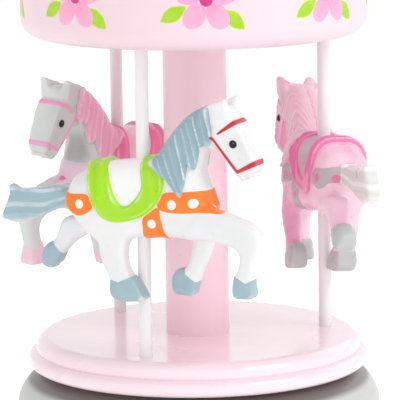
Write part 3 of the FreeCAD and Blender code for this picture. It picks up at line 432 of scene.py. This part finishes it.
def slab(outline, middle, half, edge):
    """A side-view outline given thickness across, with rounded edges; sizes may vary over the view."""
    def wide(value):
        return value[:, None, :] if isinstance(value, np.ndarray) else value
    half, edge, middle = wide(half), wide(edge), wide(middle)
    a = wide(outline) + edge
    b = np.abs(GY - middle) - half + edge
    return np.minimum(np.maximum(a, b), 0) + np.hypot(np.maximum(a, 0), np.maximum(b, 0)) - edge


def ball(centre, radii):
    """An ellipsoid's approximate signed distance."""
    (cu, cy, cz), (ru, ry, rz) = centre, radii
    k = np.sqrt(((GU - cu) / ru) ** 2 + ((GY - cy) / ry) ** 2 + ((GZ - cz) / rz) ** 2)
    return (k - 1) * min(radii)


def join(a, b, reach):
    """Smooth union."""
    h = np.clip(0.5 + 0.5 * (b - a) / reach, 0, 1)
    return b + (a - b) * h - reach * h * (1 - h)


def by_z(heights, values):
    return np.interp(FLAT_Z, heights, values)


def raised(outline, height, blur=0.5):
    """How far a painted pad stands proud, with a soft shoulder."""
    return (height * smooth(-outline, -blur * 0.4, blur))[:, None, :]


def sculpt():
    """The carved horse as a signed distance grid, then the grids that its paint needs: mane, tail, the hair's
    ridges, and how sharply the surface bends."""
    pad, seat = area(BLANKET), area(SEAT)
    cloth = np.maximum(pad, -seat)
    breast, girth, rear = area(BREAST), area(GIRTH), area(REAR)
    strap = np.minimum(np.minimum(breast, girth), rear)

    edge = 4.6 + 1.6 * smooth(FLAT_Z, 50, 58)
    torso = slab(area(TORSO), 0.0, 7.4 - 1.6 * smooth(FLAT_U, 16, 25), np.minimum(edge, 5.7))
    for side in (-1, 1):
        torso = join(torso, ball((-13.5, 3.3 * side, 47.5), (7.5, 4.8, 8.5)), 3.0)
        torso = join(torso, ball((14.5, 3.0 * side, 48.0), (7.0, 4.8, 7.5)), 3.0)
    folds = 0.32 * np.sin(FLAT_U * 1.5 + 1.2 * np.sin(FLAT_Z * 0.21)) * smooth(FLAT_Z, 46, 53)
    lip = np.exp(-((-cloth - 0.9) / 0.8) ** 2) * 0.25
    dressed = torso - raised(cloth, 1.0, 0.9) - (folds + lip)[:, None, :] * smooth(-cloth, 0, 1.2)[:, None, :]
    dressed = dressed - raised(seat, 0.45, 1.2) - raised(np.maximum(strap, -pad - 0.3), 0.4, 0.4)

    neck_half = by_z([48, 55, 64, 72, 79], [6.4, 6.1, 5.3, 4.7, 4.2])
    neck = slab(area(NECK), 0.0, neck_half, by_z([50, 60, 70], [5.2, 4.4, 3.4]))
    brow = by_z([56, 60, 66, 72, 78], [3.5, 3.9, 4.6, 5.0, 4.8])
    head = slab(area(HEAD), 0.0, brow, by_z([57, 62, 74], [1.8, 1.0, 1.0]))
    socket = np.exp(-(np.hypot(FLAT_U - EYE[0] - 0.2, FLAT_Z - EYE[1]) / 2.2) ** 2) * 0.35
    carved = (0.55 * np.exp(-(band(MOUTH) / 0.55) ** 2) + 0.25 * np.exp(-(band(CREASE) / 0.6) ** 2)
              + 0.45 * np.exp(-(np.hypot(FLAT_U - 36.4, FLAT_Z - 60.2) / 0.6) ** 2) + socket)
    cheek_hollow = 0.3 * np.exp(-(np.hypot((FLAT_U - 33.4) / 2.2, (FLAT_Z - 66.0) / 4.0)) ** 2)
    bridle = np.minimum(np.minimum(band(BROWBAND), band(CHEEK)), band(NOSEBAND))
    head = head + (carved + cheek_hollow)[:, None, :] - raised(bridle, 0.22, 0.3)
    skull = join(neck, head, 1.2)
    for side in (-1, 1):
        ear = slab(area(EAR), by_z([74, 82.4], [3.1 * side, 5.5 * side]),
                   by_z([74, 78, 82.4], [2.5, 2.0, 0.8]), 0.8)
        skull = join(skull, ear, 0.9)
        skull = join(skull, ball((EYE[0], 4.0 * side, EYE[1]), (1.35, 1.35, 1.35)), 0.3)
    body = join(dressed, skull, 2.2)

    shank = by_z([18, 22, 26, 29, 36, 44], [2.9, 3.0, 2.6, 2.4, 2.9, 3.4])
    hoof_step = -raised(np.minimum.reduce([area(line, soft=False) for line in HOOF_LINES]), 0.22, 0.5)
    for line, middle, half in (
        (FORE_NEAR, by_z([20, 44], [-5.3, -4.6]), shank - 0.35),
        (FORE_FAR, by_z([20, 44], [5.6, 4.4]), shank - 0.35),
        (HIND_NEAR, by_z([18, 44], [-4.9, -4.4]), shank + 0.2),
        (HIND_FAR, by_z([26, 44], [5.3, 4.4]), by_z([26, 31, 34, 44], [3.1, 3.0, 2.6, 3.3])),
    ):
        shape = area(line)
        ridge = 0.35 * smooth(-shape, 0.2, 2.2) * smooth(FLAT_Z, 44, 38)
        leg = slab(shape, middle, half, by_z([24, 30], [0.75, 1.6])) - ridge[:, None, :]
        body = join(body, leg + hoof_step, 2.4)

    flow = np.degrees(np.arctan2(FLAT_Z - 26.0, FLAT_U - 29)) + 0.7 * np.sin(FLAT_Z * 0.25 + FLAT_U * 0.2)
    comb = (flow[:, None, :] + 2.8 * np.minimum(np.abs(GY) - neck_half[:, None, :], 0.3)) * math.pi
    strand = 1.0 - 1.3 * np.abs(np.sin(comb / 3.1)) - 0.7 * np.abs(np.sin(comb / 1.9 + 0.6))
    past_throat = FLAT_U - by_z([50, 66, 74, 78], [15.5, 19.5, 23.5, 40.0])
    throat = by_z([56, 64, 70], [6.4, 5.9, 4.2]) * smooth(past_throat, 0.0, 2.0)
    locks = np.maximum(area(MANE, soft=False)[:, None, :], throat[:, None, :] - np.abs(GY))
    mane = -join(1.1 + 0.3 * strand - body, -locks, 0.4)
    middle_z = np.interp(FLAT_U, [-48, -45, -40, -33, -28.4, -23], [45, 45.4, 45.1, 46.6, 47.9, 48.6])
    half_z = np.interp(FLAT_U, [-48, -45, -38.4, -33, -28.4, -23], [5.2, 5.6, 5.2, 4.8, 3.9, 3.2])
    height = (FLAT_Z - middle_z) / half_z + 0.12 * np.sin(FLAT_U * 0.35)
    lock = np.cos(height * 7.5) * 0.6 + 0.4 * np.cos(height * 13 + 1.0)
    sway = 0.5 * np.sin((FLAT_U + 24) * 0.22)
    tail = slab(area(TAIL), sway, np.interp(FLAT_U, [-48, -36, -23], [2.2, 2.6, 3.0]), 1.0)
    tail = tail - (0.13 * lock)[:, None, :]
    whole = join(join(body, tail, 0.8), mane, 0.3)
    spread = whole
    for axis in (0, 1, 2) * 3:
        spread = (np.roll(spread, 1, axis) + spread + np.roll(spread, -1, axis)) / 3
    return whole, mane - body, tail - body, strand, lock, spread - whole


def sample(grid, points):
    """Trilinear reading of a grid over (u, y, z), or bilinear over (u, z)."""
    origin = np.array([U[0], Y[0], Z[0]])
    place = (points - origin) / CELL
    if grid.ndim == 2:
        place = place[:, [0, 2]]
    low = np.clip(np.floor(place).astype(int), 0, np.array(grid.shape) - 2)
    share = place - low
    total = np.zeros(len(points))
    for corner in np.ndindex(*(2,) * grid.ndim):
        weight = np.prod([share[:, k] if c else 1 - share[:, k] for k, c in enumerate(corner)], 0)
        total += weight * grid[tuple(low[:, k] + c for k, c in enumerate(corner))]
    return total


def horse_fields(points, mane, tail, strand, lock, bend):
    """Signed distances, in millimetres, that tell the paint where each colour starts; FAR_OFF where it is
    ruled out."""
    u, y, z = points.T
    side = np.abs(y)
    pad, seat = area(BLANKET, u, z), area(SEAT, u, z)
    strap = np.minimum(np.minimum(area(BREAST, u, z), area(GIRTH, u, z)), area(REAR, u, z))
    dots = np.minimum.reduce([np.hypot(u - a, z - b) - r for a, b, r in DOTS])
    for way, across, height, r in END_DOTS:
        past = 24.0 if way > 0 else 20.9
        there = np.hypot(side - across, z - height) - r
        dots = np.minimum(dots, np.where(u * way > past, there, FAR_OFF))
    at_tail = u < -20
    hair, brush = sample(mane, points), sample(tail, points)
    hair = np.where(at_tail, FAR_OFF, hair)
    bridle = np.minimum(np.minimum(band(BROWBAND, u, z), band(CHEEK, u, z)), band(NOSEBAND, u, z))
    ear = np.maximum(np.hypot((u - 31.6) / 1.0, (side - 4.7) / 0.7) - 1.2, 77.4 - z)
    cover = np.minimum(hair, brush)
    return {
        "mane": hair, "tail": np.where(u > -20, FAR_OFF, brush),
        "hoof": np.minimum.reduce([area(line, u, z, soft=False) for line in HOOF_LINES]),
        "blanket": np.maximum(pad, -seat), "saddle": seat,
        "strap": np.maximum(strap, -pad), "dot": np.maximum(dots, -cover),
        "bridle": np.where(z < 55, FAR_OFF, bridle), "ear": ear,
        "eye": np.hypot(u - EYE[0], z - EYE[1]) - 1.25 + np.where(side < 2.5, FAR_OFF, 0.0),
        "glint": np.hypot(u - EYE[0] - 0.35, z - EYE[1] - 0.45) - 0.22,
        "strand": np.where(at_tail, sample(lock, points), sample(strand, points)),
        "bend": sample(bend, points),
        # Where the painted shade under the throat falls
        "throat": np.hypot((u - 22.0) / 3.6, (z - 58.0) / 6.0) - 1.0,
    }


def carve():
    """Meshes the grid once and returns its points, faces and paint fields."""
    whole, *rest = sculpt()
    grid = openvdb.FloatGrid(3.0)
    grid.copyFromArray(np.clip(whole, -3.0, 3.0).astype(np.float32))
    points, quads = grid.convertToQuads(isovalue=0.0)
    points = points.astype(float) * CELL + np.array([U[0], Y[0], Z[0]])
    return points, quads, horse_fields(points, *rest)


def horse_mesh(name, points, quads, fields):
    mesh = bpy.data.meshes.new(name)
    mesh.vertices.add(len(points))
    mesh.vertices.foreach_set("co", (points * MM).astype(np.float32).ravel())
    mesh.loops.add(4 * len(quads))
    mesh.loops.foreach_set("vertex_index", quads.astype(np.int32)[:, ::-1].ravel())
    mesh.polygons.add(len(quads))
    mesh.polygons.foreach_set("loop_start", np.arange(0, 4 * len(quads), 4, dtype=np.int32))
    mesh.update(calc_edges=True)
    mesh.validate()
    mesh.shade_smooth()
    for key, values in fields.items():
        layer = mesh.attributes.new(key, "FLOAT", "POINT")
        layer.data.foreach_set("value", values.astype(np.float32))
    return mesh


# ---------------------------------------------------------------- horse: paint


def horse_paint(name, palette):
    """Hand-painted satin enamel: crisp colours with a thin pale rim, painted shade in hollows and under the
    throat, worn ridges.
    """
    g = Graph(name)
    strokes = g.noise(170.0, 4.0, 0.6)
    drift = g.noise(38.0, 3.0, 0.5)
    paint = g.mix(g.ramp(drift, 0.38, 0.68), palette["body"], palette["shade"])

    def lay(paint, key, colour, edge=0.12):
        brushed = g.mix(g.ramp(strokes, 0.35, 0.75, 0.0, 0.05), colour, palette["rim"])
        return g.mix(g.ramp(g.field(key), -edge, edge, 1.0, 0.0), paint, brushed)

    def rim(paint, key, amount):
        away = g.math("ABSOLUTE", g.math("ADD", g.field(key), -0.12))
        line = g.math("SUBTRACT", 1.0, g.math("DIVIDE", away, 0.3))
        return g.mix(g.math("MULTIPLY", g.math("MAXIMUM", line, 0.0), amount), paint, palette["rim"])

    # Painted shade: darker colour where the surface curves inward (negative bend)
    paint = g.mix(g.ramp(g.field("bend"), -0.03, -0.16, 0.0, 0.6), paint, palette["painted_shade"])
    # Painted shade under the throat, at a strength set per palette
    paint = g.mix(g.ramp(g.field("throat"), 0.1, -0.5, 0.0, palette["depth"]), paint, palette["painted_shade"])
    paint = lay(paint, "hoof", palette["hoof"])
    paint = lay(paint, "saddle", palette["saddle"])
    paint = rim(lay(paint, "strap", palette["strap"]), "strap", 0.4)
    paint = lay(paint, "dot", palette["dot"])
    paint = rim(lay(paint, "blanket", palette["blanket"]), "blanket", 0.35)
    for key, colour, pale in (("mane", "mane", "mane_light"), ("tail", "tail", "tail_light")):
        ridge = g.ramp(g.field("strand"), -0.1, 0.6)
        ridge = g.math("MULTIPLY", ridge, g.ramp(strokes, 0.3, 0.6, 0.65, 1.0))
        hair = g.mix(ridge, palette[colour], palette[pale])
        paint = g.mix(g.ramp(g.field(key), -0.1, 0.1, 1.0, 0.0), paint, hair)
    paint = lay(paint, "ear", palette["ear"], 0.25)
    worn = g.math("MULTIPLY", g.ramp(g.field("bend"), 0.1, 0.24), g.ramp(strokes, 0.35, 0.65, 0.1, 0.5))
    paint = g.mix(worn, paint, palette["rim"])
    paint = lay(paint, "bridle", palette["bridle"])
    eye = g.mix(g.ramp(g.field("glint"), -0.06, 0.06, 1.0, 0.0), srgb(8, 6, 6), srgb(120, 120, 120))
    paint = g.mix(g.ramp(g.field("eye"), -0.08, 0.08, 1.0, 0.0), paint, eye)
    dabs = g.noise(420.0, 3.0, 0.55)
    g.bump(g.math("ADD", g.math("MULTIPLY", dabs, 0.6), g.math("MULTIPLY", strokes, 0.4)), 0.25, 0.00025)
    g.shader.inputs["Subsurface Weight"].default_value = 0.04
    g.shader.inputs["Subsurface Radius"].default_value = (0.001, 0.0008, 0.0007)
    return g.finish(paint, g.ramp(strokes, 0.3, 0.7, 0.26, 0.4), 0.12, 0.1, 0.0, 1.42)


# Each palette's hollow colour and throat strength give painted shade in hollows and under the throat
PALETTES = {
    "white": {
        "body": srgb(238, 238, 238), "shade": srgb(231, 232, 233), "mane": srgb(152, 180, 190),
        "mane_light": srgb(210, 225, 230), "tail": srgb(160, 187, 196), "tail_light": srgb(196, 213, 219),
        "hoof": srgb(160, 186, 196), "blanket": srgb(168, 226, 0), "saddle": srgb(247, 246, 248),
        "strap": srgb(252, 126, 0), "dot": srgb(252, 246, 238), "bridle": srgb(206, 28, 48),
        "ear": srgb(238, 236, 236), "rim": srgb(250, 248, 238), "painted_shade": srgb(214, 216, 218),
        "depth": 0.1,
    },
    "grey": {
        "body": srgb(220, 225, 222), "shade": srgb(206, 211, 208), "mane": srgb(244, 178, 205),
        "mane_light": srgb(252, 214, 228), "tail": srgb(240, 175, 203), "tail_light": srgb(248, 205, 224),
        "hoof": srgb(246, 205, 220), "blanket": srgb(243, 125, 172), "saddle": srgb(246, 200, 218),
        "strap": srgb(238, 206, 220), "dot": srgb(236, 130, 180), "bridle": srgb(245, 165, 207),
        "ear": srgb(226, 228, 227), "rim": srgb(242, 240, 241), "painted_shade": srgb(168, 170, 167),
        "depth": 0.8,
    },
    "pink": {
        "body": srgb(250, 216, 229), "shade": srgb(241, 174, 204), "mane": srgb(243, 208, 220),
        "mane_light": srgb(253, 242, 246), "tail": srgb(222, 224, 220), "tail_light": srgb(244, 243, 241),
        "hoof": srgb(190, 194, 193), "blanket": srgb(240, 125, 175), "saddle": srgb(192, 184, 187),
        "strap": srgb(190, 184, 187), "dot": srgb(236, 118, 166), "bridle": srgb(238, 150, 190),
        "ear": srgb(244, 176, 204), "rim": srgb(253, 236, 243), "painted_shade": srgb(236, 150, 188),
        "depth": 0.3,
    },
}
# Degrees for each horse as it is glued to its pole, tipped about a point on the pole
TIP_HEIGHT = 49
FACING = {"white": -23.0, "grey": 229.5, "pink": 107.2}
LEAN = {"white": 0.0, "grey": 2.0, "pink": 9.0}
ROLL = {"white": 0.0, "grey": -2.5, "pink": 3.5}

points, quads, fields = carve()
for colour, palette in PALETTES.items():
    low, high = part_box("pole_" + colour)
    foot = Vector(((low.x + high.x) / 2, (low.y + high.y) / 2, platform_top))
    middle = Matrix.Translation((0, 0, TIP_HEIGHT * MM))
    facing, lean, roll = (math.radians(degrees[colour]) for degrees in (FACING, LEAN, ROLL))
    tip = Matrix.Rotation(lean, 4, "Y") @ Matrix.Rotation(roll, 4, "X")
    horse = bpy.data.objects.new("steed_" + colour, horse_mesh("steed_" + colour, points, quads, fields))
    scene.collection.objects.link(horse)
    horse.data.transform(Matrix.Translation(foot) @ Matrix.Rotation(facing, 4, "Z")
                         @ middle @ tip @ middle.inverted())
    horse.data.materials.append(horse_paint("enamel_" + colour, palette))
    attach(horse, "carousel")
    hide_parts("horse_" + colour)

# ---------------------------------------------------------------- finishes on the turned parts

for part in frame["record"]["subparts"]:
    shown = nodes[part["node"]]
    if part["material_slot"] in finishes:
        shown.data.materials.clear()
        shown.data.materials.append(finishes[part["material_slot"]])

# ---------------------------------------------------------------- floor, light

FLOOR_RADIUS, FLOOR_SIDES = 12, 64
FLOOR_GLOW = 0.26

floor_data = bpy.data.meshes.new("floor")
turns = [i * math.pi / (FLOOR_SIDES / 2) for i in range(FLOOR_SIDES)]
ring = [(FLOOR_RADIUS * math.cos(turn), FLOOR_RADIUS * math.sin(turn), 0) for turn in turns]
floor_data.from_pydata(ring, [], [list(range(FLOOR_SIDES))])
floor = bpy.data.objects.new("floor", floor_data)
scene.collection.objects.link(floor)
g = Graph("floor_paper")
speck = g.noise(8.0, 3.0, 0.5)
g.shader.inputs["Emission Color"].default_value = (1.0, 1.0, 1.0, 1.0)
g.shader.inputs["Emission Strength"].default_value = FLOOR_GLOW
floor_data.materials.append(g.finish(g.mix(speck, srgb(248, 248, 248), srgb(252, 252, 252)), 0.9))

# White walls, brightest near the horizon: strength by height on the unit sphere, low to high
GLOW_HEIGHTS, GLOW_STRENGTHS = (0.3, 0.8), (0.98, 0.55)

world = bpy.data.worlds.new("studio")
world.use_nodes = True
sky = world.node_tree
direction = sky.nodes.new("ShaderNodeTexCoord")
split = sky.nodes.new("ShaderNodeSeparateXYZ")
fade = sky.nodes.new("ShaderNodeMapRange")
for socket, number in zip(list(fade.inputs)[1:5], GLOW_HEIGHTS + GLOW_STRENGTHS):
    socket.default_value = number
sky.links.new(direction.outputs["Generated"], split.inputs[0])
sky.links.new(split.outputs[2], fade.inputs[0])
sky.links.new(fade.outputs[0], sky.nodes["Background"].inputs["Strength"])
sky.nodes["Background"].inputs["Color"].default_value = (1.0, 1.0, 1.0, 1.0)
scene.world = world


LIT_POINT = Vector((0, 0, 0.1))


def softbox(name, place, side, power):
    """A square area light facing the carousel's middle; metres and watts."""
    light = bpy.data.lights.new(name, "AREA")
    light.shape = "RECTANGLE"
    light.size = light.size_y = side
    light.energy = power
    box = bpy.data.objects.new(name, light)
    box.location = place
    box.rotation_euler = (LIT_POINT - Vector(place)).to_track_quat("-Z", "Y").to_euler()
    scene.collection.objects.link(box)


softbox("key", (1.2, -0.75, 1.2), 0.8, 8.5)
softbox("fill", (-0.5, -1.2, 1.2), 1.0, 2.0)
softbox("rim", (0.9, 1.1, 0.9), 0.8, 1.5)
